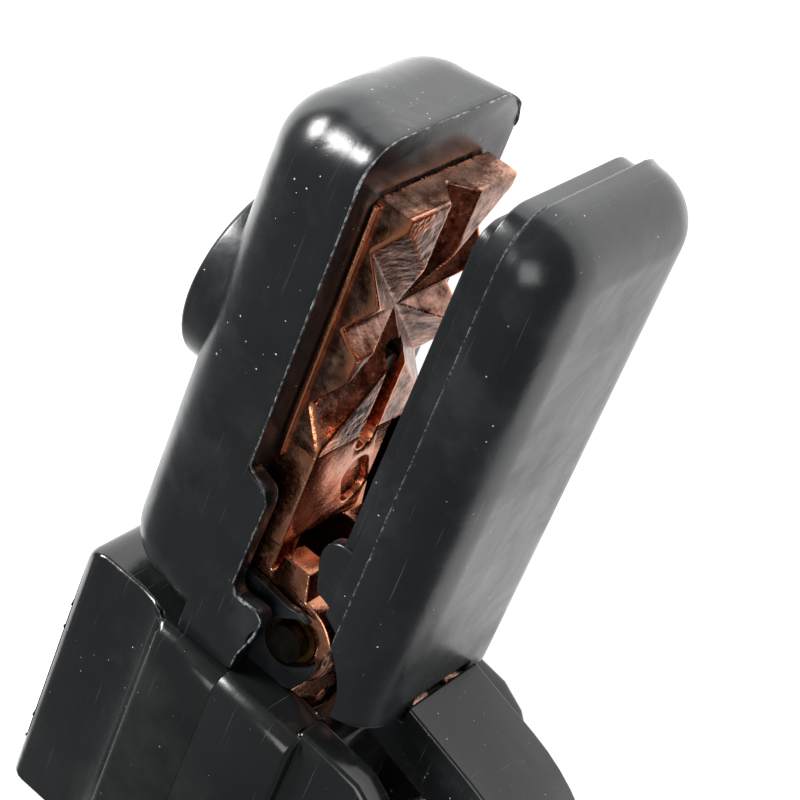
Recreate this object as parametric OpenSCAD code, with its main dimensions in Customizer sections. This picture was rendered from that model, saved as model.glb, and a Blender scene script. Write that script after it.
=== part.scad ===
// Insulated spring clamp for a welding cable, lying on its side.
// Two copper jaws with crossing V grooves sit in moulded insulating covers.
// The pivot is parallel to Z, and X runs along the handle towards the jaws.
// The origin is the centre of the cable socket's mouth, on the handle's axis.
// Most sizes are given from the pivot, and at_pivot() puts them in place.

/* [Covers] */
// Width of both jaw covers along the pivot
cover_w = 34.6; // [32:0.2:42]
// Radius of the fixed cover's outer edges
fixed_cover_r = 9.5; // [6:0.5:11]
// Radius of the moving cover's outer edges
moving_cover_r = 8; // [6:0.5:8.5]
// Corner radius of the covers' parting outline
cover_corner_r = 6.5; // [3:0.5:9]
// Thickness of the fixed jaw's cover
fixed_cover_t = 17; // [16:0.5:22]
// Thickness of the moving jaw's cover, without its lip
moving_cover_t = 9.6; // [9.6:0.2:14]
// Depth of the pocket that holds each copper jaw
pocket_depth = 7; // [5:0.2:7.4]
// Plastic ahead of each copper jaw's tip
tip_wall = 9.2; // [6:0.2:14]
// Height of the raised lip on the moving jaw's cover
lip_h = 3.4; // [1:0.1:3.6]
// Step from the cover's side to the lip
lip_step = 1.8; // [1:0.1:3]
// Height of the rim inside the lip
rim_h = 5.6; // [3.8:0.1:5.8]
// Outer diameter of the round boss on the fixed jaw's cover
boss_d = 30; // [20:1:31]
// How far the boss stands out of the cover
boss_h = 2.4; // [1:0.2:8]

/* [Jaws] */
// Width of both copper jaws along the pivot
jaw_w = 23.2; // [20:0.2:26]
// Distance from the pivot to the fixed jaw's tip
jaw_reach = 65.7; // [60:0.1:72]
// How much further the moving jaw's tip reaches
tip_lead = 4.6; // [0:0.2:6]
// Distance from the pivot to the fixed cover's parting plane
fixed_plane = 12.6; // [12:0.1:16]
// Distance from the pivot to the moving cover's parting plane
moving_plane = 8.3; // [8:0.1:11]
// Height of the jaw teeth above the parting plane
crest_h = 5.8; // [4:0.1:6]
// Length of the toothed part of each jaw
tooth_len = 38.7; // [36:0.1:46]
// Half the width of a diagonal V groove at the crests
groove_half_w = 3.7; // [2:0.1:5]
// Depth of a V groove below the crests
groove_depth = 3.6; // [2:0.1:5]
// Angle of the diagonal grooves from the jaw's length
groove_angle = 42.5; // [25:0.5:50]

/* [Pivot] */
// Diameter of the pivot pin
pin_d = 5.6; // [4:0.1:7]
// Radial running clearance of the pin
pin_clear = 0.05; // [0.02:0.01:0.1]
// Wall of the pivot bushes
bush_wall = 0.9; // [0.6:0.1:1.2]
// Outer radius of the fixed jaw's ears
ear_r = 6.5; // [5.5:0.1:7]
// Thickness of each ear
ear_t = 4.4; // [3:0.1:5]
// Outer radius of the moving jaw's knuckle
knuckle_r = 7.4; // [6:0.1:7.8]
// Gap between the knuckle and the ears
knuckle_gap = 0.4; // [0.2:0.1:1]

/* [Body] */
// Thickness of the body along the pivot
body_w = 40; // [38:0.5:48]
// Length of the body block
body_len = 47.6; // [46:0.2:64]
// Distance of the block's lever side from the handle axis
body_drop = 14.3; // [13.6:0.1:16]
// Height of the hand guard beyond the handle axis
guard_h = 28.9; // [25:0.1:34]
// Thickness of the hand guard along the pivot
guard_w = 32; // [28:0.5:34]
// Height of the two spring cheeks beyond the lever side
cheek_h = 18.3; // [12:0.2:19]
// Thickness of each cheek
cheek_t = 5; // [3:0.5:5.5]
// Outer diameter of the handle
handle_d = 31; // [30.6:0.2:32]
// Wall of the handle
handle_wall = 3; // [2.2:0.1:3]
// Length of the handle behind the block
handle_len = 96; // [84:1:130]
// Length of the handle screws
body_screw_len = 24; // [18:1:26]
// Diameter of the body screws
body_screw_d = 4; // [3:0.5:5]

/* [Cable end] */
// Diameter of the copper shank
shank_d = 13; // [10:0.5:13.5]
// Outer diameter of the cable socket
socket_d = 19.2; // [17:0.2:19.6]
// Bore of the cable socket
cable_bore_d = 12; // [8:0.5:12]
// Depth of the cable bore
cable_bore_len = 36; // [30:1:44]
// Distance from the pivot to the socket's mouth
socket_mouth = 100; // [96:1:112]
// Diameter of the socket's grub screws
grub_d = 5; // [4:0.5:6]
// Length of the end cap's skirt
cap_skirt = 12; // [8:1:16]
// Thickness of the end cap's wall
cap_wall = 1.6; // [1:0.1:2.4]

/* [Lever] */
// Width of the lever along the pivot
lever_w = 16; // [15:0.5:18]
// Thickness of the lever
lever_t = 9; // [8:0.5:10]
// Length of the lever's straight root
lever_root_len = 18; // [15:1:22]
// Radius of the lever's bend
lever_bend_r = 24; // [20:1:30]
// Length of the lever's hand part
lever_hand_len = 70; // [50:1:76]
// Thickness of the steel blade inside the lever
blade_t = 4; // [3:0.5:5]
// Mean diameter of the spring
spring_d = 10.4; // [9:0.2:11]
// Diameter of the spring wire
wire_d = 1.8; // [1.4:0.1:2.2]
// Number of turns in the spring
spring_turns = 6; // [4:1:8]

/* [Hidden] */
$fn = 64;
copper = "#b0715a";
black = "#1b1c1e";
steel = "#8a8c90";
slack = 0.05;                 // clearance of a screw in its hole
seat_gap = 0.2;               // clearance round a jaw in its pocket
big = 400;

// planes and stations, from the pivot
axis_y = 4.2;                 // the handle's axis and the body's seam
cover_half = cover_w / 2;
jaw_half = jaw_w / 2;
pocket_half = jaw_half + seat_gap;
fixed_tip = jaw_reach + tip_wall + 0.4;
block_front = -6.8;            // the block's front, where the fixed cover ends
fixed_tail = block_front;
moving_reach = jaw_reach + tip_lead;
moving_tip = moving_reach + tip_wall;
moving_tail = -1.8;
form_tail = moving_tail - 5.5;    // where its round end would be, if it weren't cut square
fixed_crest = fixed_plane - crest_h;
moving_crest = -moving_plane + crest_h;
fixed_back = fixed_plane + pocket_depth;
moving_back = -moving_plane - pocket_depth;
star_x = jaw_reach - 19;      // where the grooves cross
moving_star_x = star_x + tip_lead;
ear_out = jaw_half - seat_gap;
ear_in = ear_out - ear_t;
knuckle_half = ear_in - knuckle_gap;
pin_r = pin_d / 2;
bush_in = pin_r + pin_clear;
bush_out = bush_in + bush_wall;
web_t = 1.3;                  // the web round each end of the pin
pin_half = pocket_half + web_t + 0.3;

block_back = block_front - body_len;
block_low = axis_y - body_drop;
web_front = -9.4;
web_back = -16;
cavity_back = web_back - 1;
cavity_half = ear_out + seat_gap;
handle_r = handle_d / 2;
handle_bore_r = handle_r - handle_wall;
handle_end = block_back - handle_len;
cheek_in = body_w / 2 - 2 - cheek_t;
cheek_low = block_low - cheek_h;

shank_r = shank_d / 2;
socket_r = socket_d / 2;
shank_end = -socket_mouth + cable_bore_len;
socket_front = shank_end + 8;
liner_front = max(block_back + 4.4, socket_front + 6);
liner_back = -socket_mouth - 18;
liner_out = handle_bore_r - 0.1;
liner_in = socket_r + 0.1;

// the round boss and the screw through the fixed cover
boss_x = star_x - 8.4;
boss_face = fixed_plane + fixed_cover_t + boss_h;
screw_r = 3;
screw_point_r = 1.6;          // the dog point that ends between the teeth
screw_head_r = 5;
screw_head_y = boss_face - 6;
screw_end = fixed_crest + 1.2;

// the lever's centre line: a straight root, a bend and a straight hand part
lever_start = [-2.4, -12];
root_heading = 255;
hand_heading = 177;
bend_from = lever_start + lever_root_len * heading(root_heading);
bend_c = bend_from + lever_bend_r * heading(root_heading - 90);
bend_to = bend_c + lever_bend_r * heading(hand_heading + 90);
lever_end = bend_to + lever_hand_len * heading(hand_heading);
blade_half = blade_t / 2;
blade_h = 5;
fork_half = 6;
stub_len = 13.5;               // the copper stub's length along the root
rivet_r = 2;
rivet_at = [stub_len - 9, stub_len - 3.5];
lever_screw_at = lever_hand_len - 14;

// the spring, square to the inside of the lever's bend
spring_low = [block_back + 6.4, block_low - 5];
spring_dir = unit(bend_c - spring_low);
spring_high = bend_c + (lever_bend_r - lever_t / 2) * spring_dir;
spring_angle = atan2(spring_dir.y, spring_dir.x);
spring_span = norm(spring_high - spring_low);
cup_t = 2;
cup_sink = 0.8;               // how far the lever's seat is let in
cup_r = spring_d / 2 + wire_d / 2 + 0.9;
spigot_r = spring_d / 2 - wire_d / 2 - 0.3;
wire_steps = 14;              // rings in one turn of the coil

function heading(a) = [cos(a), sin(a)];
function unit(v) = v / norm(v);
// points of the lever's side outline at a distance either side of its line
function lever_side(off, from, to) = concat(
    [lever_start + from * heading(root_heading) + off * heading(root_heading + 90)],
    [for (a = [root_heading + 90 : -6 : hand_heading + 90])
        bend_c + (lever_bend_r + off) * heading(a)],
    [bend_to + to * heading(hand_heading) + off * heading(hand_heading + 90)]);
function reversed(v) = [for (i = [len(v) - 1 : -1 : 0]) v[i]];

// moves a shape given from the pivot into the part's frame
module at_pivot() translate([socket_mouth, -axis_y, 0]) children();
// extrudes an outline drawn in X and Z from y0 to y1
module slab(y0, y1)
    translate([0, y1, 0]) rotate([90, 0, 0]) linear_extrude(y1 - y0) children();
// extrudes an outline drawn in X and Y from z0 to z1, on both sides of Z = 0
module pair(z0, z1)
    for (s = [0, 1]) mirror([0, 0, s]) translate([0, 0, z0]) linear_extrude(z1 - z0) children();
// extrudes an outline drawn in X and Y across the middle
module middle(half) translate([0, 0, -half]) linear_extrude(2 * half) children();
// a cylinder along X, from x0 to x1, on the handle's axis
module along(x0, x1, r)
    translate([x0, axis_y, 0]) rotate([0, 90, 0]) cylinder(h = x1 - x0, r = r);
// a cylinder along Y, from y0 to y1
module across(x, z, y0, y1, r)
    translate([x, y0, z]) rotate([-90, 0, 0]) cylinder(h = y1 - y0, r = r);
// a block between two corners
module block(a, b) translate(a) cube(b - a);
// a rectangle with round corners, in X and Z
module round_outline(x0, x1, half, r) {
    translate([x0, -half + r]) square([x1 - x0, 2 * (half - r)]);
    translate([x0 + r, -half]) square([x1 - x0 - 2 * r, 2 * half]);
    for (x = [x0 + r, x1 - r], z = [-half + r, half - r]) translate([x, z]) circle(r);
}

// the solid outside of a cover: flat at its parting plane, round behind
module cover_form(x0, x1, plane, t, r) intersection() {
    hull() {
        slab(plane, plane + 0.5) round_outline(x0, x1, cover_half, cover_corner_r, $fn = 32);
        for (x = [x0 + r, x1 - r], z = [-1, 1] * (cover_half - r))
            translate([x, plane + t - r, z]) sphere(r, $fn = 32);
    }
    block([-big, plane, -big], [big, big, big]);
}

// V grooves that cross at one point, cut from the crest plane. Each is a little shallower
// than the one before, so that no face is pinched to a point. The cross groove is steeper
// on the pivot's side, and the last one runs only from the crossing to the tip.
module groove_star(x, crest, side) {
    module groove(angle, deep, rear, front, from)
        translate([x, crest, 0]) rotate([0, angle, 0]) rotate([0, 90, 0])
            translate([0, 0, from]) linear_extrude(60)
                polygon([[-front, -side * 0.01], [0, side * deep], [rear, -side * 0.01]]);
    groove(-groove_angle, groove_depth, groove_half_w, groove_half_w, -30);
    groove(groove_angle, groove_depth - 0.1, groove_half_w, groove_half_w, -30);
    groove(90, groove_depth - 0.25, groove_half_w - 1.2, groove_half_w + 1.4, -30);
    groove(0, groove_depth - 0.4, groove_half_w - 0.7, groove_half_w - 0.7, 1);
}

// the outline of an ear and the rail that leads to it
module ear_outline() {
    circle(ear_r);
    polygon([[web_front - 2, fixed_back], [fixed_jaw_root(), fixed_back],
        [fixed_jaw_root(), fixed_plane - 0.8], [ear_r + 0.8, fixed_plane - 3.8],
        [ear_r + 0.8, 6.4], [10.7, 6], [10.7, 1.2], [ear_r - 0.6, 0], [0, -2],
        [-ear_r + 0.6, 0], [web_front - 2, -2]]);
}
function fixed_jaw_root() = jaw_reach - tooth_len;
plate_x = 11.5;               // where the plate behind the teeth ends
plate_far = 5.4;              // how far it reaches to the lower side

module fixed_jaw() color(copper) at_pivot() difference() {
    union() {
        block([fixed_jaw_root(), fixed_crest, -jaw_half], [jaw_reach, fixed_back, jaw_half]);
        // the tip leans over the cover's edge
        block([jaw_reach - 1, fixed_crest, -jaw_half], [jaw_reach + 1.1, fixed_plane - 0.3, jaw_half]);
        // the plate behind the teeth, and the rail along its upper side
        block([plate_x, fixed_crest, -plate_far], [fixed_jaw_root() + 1, fixed_back, jaw_half]);
        block([ear_r - 1.5, fixed_crest, ear_in], [plate_x + 1, fixed_back, ear_out]);
        pair(ear_in, ear_out) ear_outline();
        block([web_back, -2, -ear_out], [web_front, fixed_back, ear_out]);
        along(shank_end, web_back + 1, shank_r);
    }
    groove_star(star_x, fixed_crest, 1);
    // the long slot behind the star and the shallow oval recess after it
    slab(fixed_crest - 1, fixed_crest + 6)
        round_outline(star_x - 22.4, star_x - 4, 1.9, 1.8);
    slab(fixed_crest - 1, fixed_crest + 1.2)
        translate([plate_x + 6.4, -1.6]) rotate(24) round_outline(-4.4, 4.4, 2.6, 2.5);
    across(boss_x, 0, fixed_crest + 6.9, fixed_back + 1, screw_r + slack);
    across(boss_x, 0, fixed_crest - 5, fixed_back, screw_point_r + slack);
    cylinder(h = 3 * jaw_w, r = bush_out, center = true);
}

// the cheeks that the fixed cover lowers beside the pivot
module fixed_cheek_outline()
    polygon([[24, fixed_plane + 1], [22.4, fixed_plane - 3.6], [20.6, fixed_plane - 4.4],
        [6, fixed_plane - 4], [4.6, fixed_plane - 5], [5, 3.6], [4, 2.4],
        [0.6, 2.6], [-3.6, axis_y], [fixed_tail, axis_y], [fixed_tail, fixed_plane + 1]]);

// the thin web round the pin's ends, between the cheeks and the ears, with an oval hole
module pin_web_outline() difference() {
    union() {
        circle(pin_r + 2.8);
        polygon([[fixed_tail, -3], [0, -pin_r - 2.8], [pin_r + 2.4, 1.6], [6, fixed_plane + 1],
            [fixed_tail, fixed_plane + 1]]);
    }
    hull() for (p = [[0, 0], [1.4, -1.8]]) translate(p) circle(pin_r + 0.8);
}

module fixed_jaw_cover() color(black) at_pivot() difference() {
    union() {
        cover_form(fixed_tail, fixed_tip, fixed_plane, fixed_cover_t, fixed_cover_r);
        pair(cover_half - 2.8, cover_half) fixed_cheek_outline();
        pair(pocket_half, pocket_half + web_t) pin_web_outline();
        across(boss_x, 0, fixed_plane + pocket_depth, boss_face, boss_d / 2);
    }
    block([-big, -big, -pocket_half], [jaw_reach + seat_gap, fixed_back, pocket_half]);
    across(boss_x, 0, 0, big, screw_r + slack);
    across(boss_x, 0, screw_head_y, big, screw_head_r + 1);
}

module fixed_cover_screw() color(steel) at_pivot() difference() {
    union() {
        across(boss_x, 0, screw_end, fixed_crest + 8, screw_point_r);
        across(boss_x, 0, fixed_crest + 7, screw_head_y, screw_r);
        across(boss_x, 0, screw_head_y, screw_head_y + 4, screw_head_r);
    }
    slab(screw_head_y + 1.8, screw_head_y + 5)
        translate([boss_x, 0]) circle(2.9, $fn = 6);
}

// the body's section behind the head, drawn in Y and Z for the block and the guard
module body_section() {
    chamfer_y = axis_y + 11.3;
    wing_y = axis_y + 17.8;
    wing_top = axis_y + guard_h;
    half = body_w / 2;
    wing = guard_w / 2;
    for (s = [0, 1]) mirror([0, s])
        polygon(concat([[block_low, 0], [block_low, half]], [for (p = [[0, 0], [0.9, -1.5],
            [2.3, -2.8], [4.1, -3.6]]) [chamfer_y + p.x, half + p.y]], [[wing_y, wing]],
            quarter(wing_top - guard_r, wing - guard_r, guard_r), [[wing_top, 0]]));
}
guard_r = 3;                  // the guard's rounding
front_r = 3;                  // the rounding of the block's front edges
guard_front_r = 4;            // the rounding of the guard's front corner
// points of a quarter circle round (x, y), from its top to its far side
function quarter(x, y, r) = [for (a = [90 : -18 : 0]) [x + r * cos(a), y + r * sin(a)]];

// the block with its front edges rounded
module body_block() {
    half = body_w / 2;
    // the section's own axes are turned into Y and Z
    module run(x0, x1) translate([x0, 0, 0]) rotate([90, 0, 90]) linear_extrude(x1 - x0) children();
    intersection() {
        run(block_back, block_front) body_section();
        rotate([90, 0, 0]) linear_extrude(big, center = true)
            for (s = [0, 1]) mirror([0, s]) polygon(concat([[block_back, 0], [block_back, half]],
                quarter(block_front - front_r, half - front_r, front_r), [[block_front, 0]]));
        linear_extrude(big, center = true)
            polygon(concat([[block_back, -big], [block_back, axis_y + guard_h]],
                quarter(block_front - guard_front_r, axis_y + guard_h - guard_front_r, guard_front_r),
                [[block_front, -big]]));
    }
}
module body_hollows() {
    block([cavity_back, -big, -cavity_half], [big, fixed_back, cavity_half]);
    along(-big, 0, shank_r + 0.1);
    along(-big, liner_front, handle_bore_r);
    for (x = body_screw_x(), z = [-1, 1] * body_screw_z())
        across(x, z, block_low + 1.5, big, body_screw_d / 2 + slack);
    for (x = body_screw_x(), z = [-1, 1] * body_screw_z())
        across(x, z, body_head_y(), big, body_screw_d / 2 + 1.7);
}
function body_screw_x() = [cavity_back - 5, liner_front + 5];
function body_screw_z() = shank_r + body_screw_d / 2 + 2;
function body_head_y() = block_low + 2 + body_screw_len;

module body_outer_half() color(black) at_pivot() difference() {
    union() {
        intersection() {
            body_block();
            block([-big, axis_y, -big], [big, big, big]);
        }
        intersection() {
            along(handle_end, block_back + 1, handle_r);
            block([-big, axis_y, -big], [big, big, big]);
        }
    }
    body_hollows();
}

module cheek_outline()
    polygon([[block_front + 0.6, block_low + 1], [block_front + 0.3, block_low - 4],
        [block_front - 0.4, cheek_low + 8.4], [block_front - 2.7, cheek_low + 4.2],
        [block_front - 6.2, cheek_low + 1.4], [block_front - 11, cheek_low],
        [block_back + 5, cheek_low], [block_back, cheek_low + 5], [block_back, block_low + 1]]);

module body_inner_half() color(black) at_pivot() difference() {
    union() {
        intersection() {
            body_block();
            block([-big, -big, -big], [big, axis_y, big]);
        }
        pair(cheek_in, cheek_in + cheek_t) cheek_outline();
        intersection() {
            along(handle_end, block_back + 1, handle_r);
            block([-big, -big, -big], [big, axis_y, big]);
        }
        // the boss behind the spring seat
        spring_frame() translate([0, 0, -cup_t - 5]) cylinder(h = 5, r = cup_r + 0.6);
    }
    spring_frame() translate([0, 0, -cup_t]) cylinder(h = big, r = cup_r + 0.1);
    body_hollows();
}

module body_screws() color(steel) at_pivot()
    for (x = body_screw_x(), z = [-1, 1] * body_screw_z()) difference() {
        union() {
            across(x, z, body_head_y() - body_screw_len, body_head_y(), body_screw_d / 2);
            across(x, z, body_head_y(), body_head_y() + 2.6, body_screw_d / 2 + 1.5);
        }
        block([x - 3, body_head_y() + 1.4, z - 0.5], [x + 3, body_head_y() + 3, z + 0.5]);
    }

module pivot_pin() color(steel) at_pivot() {
    cylinder(h = 2 * pin_half, r = pin_r, center = true);
}

module pivot_bushes() color("#c8a560") at_pivot() for (s = [0, 1]) mirror([0, 0, s])
    difference() {
        translate([0, 0, ear_in]) cylinder(h = ear_t, r = bush_out);
        cylinder(h = 2 * jaw_w, r = bush_in);
    }

module cable_socket() color("#b98a4e") at_pivot() difference() {
    along(-socket_mouth, socket_front, socket_r);
    along(shank_end, big, shank_r + 0.02);
    along(-big, shank_end + 0.01, cable_bore_d / 2);
    for (x = grub_x()) across(x, 0, -big, axis_y, grub_d / 2 + slack);
}
function grub_x() = [shank_end + 4, -socket_mouth + 20, -socket_mouth + 10];

module socket_grub_screws() color(steel) at_pivot() for (x = grub_x()) {
    inner = x > shank_end ? shank_r + 0.1 : cable_bore_d / 2 + 0.1;
    outer = socket_r - 0.6;
    difference() {
        across(x, 0, axis_y - outer, axis_y - inner, grub_d / 2);
        slab(-big, axis_y - outer + 1.2) translate([x, 0]) circle(grub_d * 0.26, $fn = 6);
    }
}

module socket_liner() color("#8a4a3a") at_pivot() difference() {
    along(liner_back, liner_front - 0.2, liner_out);
    along(-big, big, liner_in);
}

module end_cap() color(black) at_pivot() difference() {
    along(handle_end - 4, handle_end + cap_skirt, handle_r + cap_wall + 0.1);
    along(handle_end, big, handle_r + 0.1);
    along(-big, big, cable_bore_d / 2 + 3.2);
}

module cable_grommet() color("#2a2a2c") at_pivot() difference() {
    union() {
        along(handle_end - 4.8, handle_end, cable_bore_d / 2 + 3.1);
        along(handle_end + 0.1, handle_end + 2, handle_bore_r - 0.4);
        along(handle_end - 0.1, handle_end + 0.2, cable_bore_d / 2 + 3.1);
    }
    along(-big, big, cable_bore_d / 2 + 0.8);
}

// the spring's own frame: Z runs along it from the body's seat to the lever's
module spring_frame()
    translate([spring_low.x, spring_low.y, 0]) rotate([0, 0, spring_angle])
        rotate([0, 90, 0]) children();

module spring_cup() difference() {
    union() {
        cylinder(h = cup_t, r = cup_r);
        cylinder(h = cup_t + 3, r = spigot_r);
    }
    translate([0, 0, -1]) cylinder(h = cup_t + 6, r = spigot_r - 1.6);
}
module body_spring_seat() color("#5a5046") at_pivot()
    spring_frame() translate([0, 0, -cup_t]) spring_cup();
module lever_spring_seat() color("#5a5046") at_pivot()
    spring_frame() translate([0, 0, spring_span + cup_sink]) mirror([0, 0, 1]) spring_cup();

module spring() color(steel) at_pivot() spring_frame() {
    coil_len = spring_span + cup_sink - cup_t - wire_d - 0.2;
    rings = spring_turns * wire_steps;
    points = [for (i = [0 : rings], k = [0 : 7])
        let (a = 360 * i / wire_steps, r = spring_d / 2 + wire_d / 2 * cos(45 * k))
            [r * cos(a), r * sin(a),
                wire_d / 2 + 0.1 + coil_len * i / rings + wire_d / 2 * sin(45 * k)]];
    polyhedron(points, concat(
        [[for (k = [0 : 7]) k]],
        [for (i = [0 : rings - 1], k = [0 : 7]) let (n = (k + 1) % 8)
            [8 * i + k, 8 * (i + 1) + k, 8 * (i + 1) + n, 8 * i + n]],
        [[for (k = [7 : -1 : 0]) 8 * rings + k]]));
}

// the copper stub that the lever's blade is riveted into
module stub_outline() polygon(concat(
    [lever_point(0, -3.4), lever_point(stub_len, -3.4)],
    [lever_point(stub_len, 3.4), lever_point(-4, 3.4)], [[0, 0]]));
function lever_point(s, off) =
    lever_start + s * heading(root_heading) + off * heading(root_heading + 90);

module moving_jaw() color(copper) at_pivot() difference() {
    union() {
        cylinder(h = 2 * knuckle_half, r = knuckle_r, center = true);
        middle(knuckle_half) polygon([[-2, 0], [0, moving_back + 0.1], [moving_root() + 1, moving_back + 0.1],
            [moving_root() + 1, moving_crest], [knuckle_r, moving_crest], [knuckle_r - 1, 0]]);
        block([moving_root(), moving_back, -jaw_half], [moving_reach, moving_crest, jaw_half]);
        middle(fork_half) stub_outline();
    }
    groove_star(moving_star_x, moving_crest, -1);
    middle(blade_half + slack) polygon([lever_point(1.5, -9), lever_point(40, -9),
        lever_point(40, 9), lever_point(1.5, 9)]);
    for (s = rivet_at) rivet(s, rivet_r + slack);
    across(moving_star_x, 0, -big, big, 2 + slack);
    across(moving_star_x, 0, moving_screw_head(), big, 4.2);
    cylinder(h = 3 * jaw_w, r = bush_out, center = true);
}
function moving_root() = moving_reach - tooth_len;
function moving_screw_head() = moving_back + 4.4;
module rivet(s, r)
    translate([lever_point(s, 0).x, lever_point(s, 0).y, -fork_half]) cylinder(h = 2 * fork_half, r = r);

module knuckle_bush() color("#c8a560") at_pivot() difference() {
    cylinder(h = 2 * knuckle_half, r = bush_out, center = true);
    cylinder(h = 2 * jaw_w, r = bush_in, center = true);
}

module moving_jaw_cover() color(black) at_pivot() difference() {
    union() {
        mirror([0, 1, 0])
            cover_form(form_tail, moving_tip, moving_plane, moving_cover_t, moving_cover_r);
        slab(-moving_plane - 0.1, -moving_plane + lip_h)
            round_outline(form_tail, moving_tip - lip_step, cover_half - lip_step,
                cover_corner_r - 1);
        slab(-moving_plane - 0.1, -moving_plane + rim_h)
            round_outline(form_tail, moving_reach + 3.3, cover_half - 2 * lip_step,
                cover_corner_r - 3);
        pair(ear_out + 0.5, cover_half - 3.1) moving_tab_outline();
    }
    // cut square at the tail
    block([-big, -big, -big], [moving_tail, big, big]);
    difference() {
        block([-big, moving_back, -pocket_half], [moving_reach + seat_gap, big, pocket_half]);
        pair(ear_out + 0.5, pocket_half + 1) moving_tab_outline();
    }
    cylinder(h = big, r = 12, center = true);
    block([-big, -big, -fork_half - 0.3], [1.4, big, fork_half + 0.3]);
    across(moving_star_x, 0, -moving_plane - moving_cover_t + 0.8, 0, 2 + slack);
}
// the round-topped tab that closes the gap beside the pivot
module moving_tab_outline() {
    top = 0.8 - moving_plane + lip_h + 3.9;
    polygon([[21, -moving_plane - 1], [21, top - 2.4], [20.2, top - 0.9], [18.6, top], [16.5, top],
        [4.5, top - 4], [1, -moving_plane - 1]]);
}

module moving_cover_screw() color(steel) at_pivot() difference() {
    union() {
        across(moving_star_x, 0, -moving_plane - moving_cover_t + 1, moving_screw_head(), 2);
        across(moving_star_x, 0, moving_screw_head(), moving_screw_head() + 2.6, 4);
    }
    slab(moving_screw_head() + 1.2, moving_screw_head() + 4)
        translate([moving_star_x, 0]) circle(1.7, $fn = 6);
}

module lever_blade() color(steel) at_pivot() difference() {
    middle(blade_half) polygon(concat(
        lever_side(-blade_h / 2, 1.8, lever_hand_len - 6),
        reversed(lever_side(blade_h / 2, 1.8, lever_hand_len - 6))));
    for (s = rivet_at) rivet(s, rivet_r + slack);
    lever_cross_hole(1.5 + slack);
}
module lever_cross_hole(r) {
    p = bend_to + lever_screw_at * heading(hand_heading);
    translate([p.x, p.y, 0]) cylinder(h = big, r = r, center = true);
}

module lever_rivets() color(steel) at_pivot() for (s = rivet_at) rivet(s, rivet_r);

module lever_cover() color(black) at_pivot() difference() {
    middle(lever_w / 2) polygon(concat(
        lever_side(-lever_t / 2, 2.5, lever_hand_len),
        reversed(lever_side(lever_t / 2, 2.5, lever_hand_len))));
    // the slot for the blade and the wider one for the copper stub
    middle(blade_half + 0.1) polygon(concat(
        lever_side(-blade_h / 2 - 0.1, -20, lever_hand_len - 5.9),
        reversed(lever_side(blade_h / 2 + 0.1, -20, lever_hand_len - 5.9))));
    middle(fork_half + 0.1) polygon([lever_point(-20, -3.5), lever_point(stub_len + 0.1, -3.5),
        lever_point(stub_len + 0.1, 3.5), lever_point(-20, 3.5)]);
    cylinder(h = big, r = 12.4, center = true);
    spring_frame() translate([0, 0, cup_t]) cylinder(h = spring_span + cup_sink - cup_t, r = cup_r + 0.1);
    block([moving_tail - 0.3, -moving_plane - moving_cover_t - 0.2, -lever_w], [big, big, lever_w]);
    lever_cross_hole(1.5 + slack);
    p = bend_to + lever_screw_at * heading(hand_heading);
    translate([p.x, p.y, lever_w / 2 - 2]) cylinder(h = 4, r = 3.1);
    translate([p.x, p.y, -lever_w / 2 - 2]) cylinder(h = 4.4, r = 3.3);
}

module lever_screw() color(steel) at_pivot() {
    p = bend_to + lever_screw_at * heading(hand_heading);
    translate([p.x, p.y, -lever_w / 2 + 0.6]) cylinder(h = lever_w - 2.6, r = 1.5);
    difference() {
        translate([p.x, p.y, lever_w / 2 - 2]) cylinder(h = 1.8, r = 3);
        block([p.x - 3, p.y - 0.4, lever_w / 2 - 1], [p.x + 3, p.y + 0.4, lever_w / 2]);
    }
}
module lever_nut() color(steel) at_pivot() {
    p = bend_to + lever_screw_at * heading(hand_heading);
    translate([p.x, p.y, -lever_w / 2]) difference() {
        cylinder(h = 2.4, r = 3.1, $fn = 6);
        translate([0, 0, -1]) cylinder(h = 5, r = 1.5 + slack);
    }
}

fixed_jaw();
fixed_jaw_cover();
fixed_cover_screw();
body_outer_half();
body_inner_half();
body_screws();
pivot_pin();
pivot_bushes();
cable_socket();
socket_grub_screws();
socket_liner();
end_cap();
cable_grommet();
body_spring_seat();
spring();
moving_jaw();
knuckle_bush();
moving_jaw_cover();
moving_cover_screw();
lever_blade();
lever_rivets();
lever_cover();
lever_screw();
lever_nut();
lever_spring_seat();
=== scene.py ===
import bpy, bmesh, math
import numpy as np
from mathutils import Matrix, Vector


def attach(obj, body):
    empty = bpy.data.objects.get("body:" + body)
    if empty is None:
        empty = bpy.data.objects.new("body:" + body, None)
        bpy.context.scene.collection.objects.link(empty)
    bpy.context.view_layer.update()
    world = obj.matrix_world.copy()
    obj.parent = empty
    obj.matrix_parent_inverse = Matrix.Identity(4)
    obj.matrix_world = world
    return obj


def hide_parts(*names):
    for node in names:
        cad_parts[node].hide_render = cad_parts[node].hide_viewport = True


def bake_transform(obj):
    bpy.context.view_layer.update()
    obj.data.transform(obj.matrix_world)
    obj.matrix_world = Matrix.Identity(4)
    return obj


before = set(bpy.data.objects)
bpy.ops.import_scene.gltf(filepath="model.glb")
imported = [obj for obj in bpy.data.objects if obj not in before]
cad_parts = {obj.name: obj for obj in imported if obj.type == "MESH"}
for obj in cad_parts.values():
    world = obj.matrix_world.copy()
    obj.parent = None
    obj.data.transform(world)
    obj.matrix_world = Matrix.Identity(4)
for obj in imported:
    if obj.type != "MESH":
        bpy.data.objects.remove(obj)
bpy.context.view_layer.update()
mm = 0.001
quarterTurn, fullTurn = math.pi / 2, 2 * math.pi
print("frame loaded")

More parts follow.
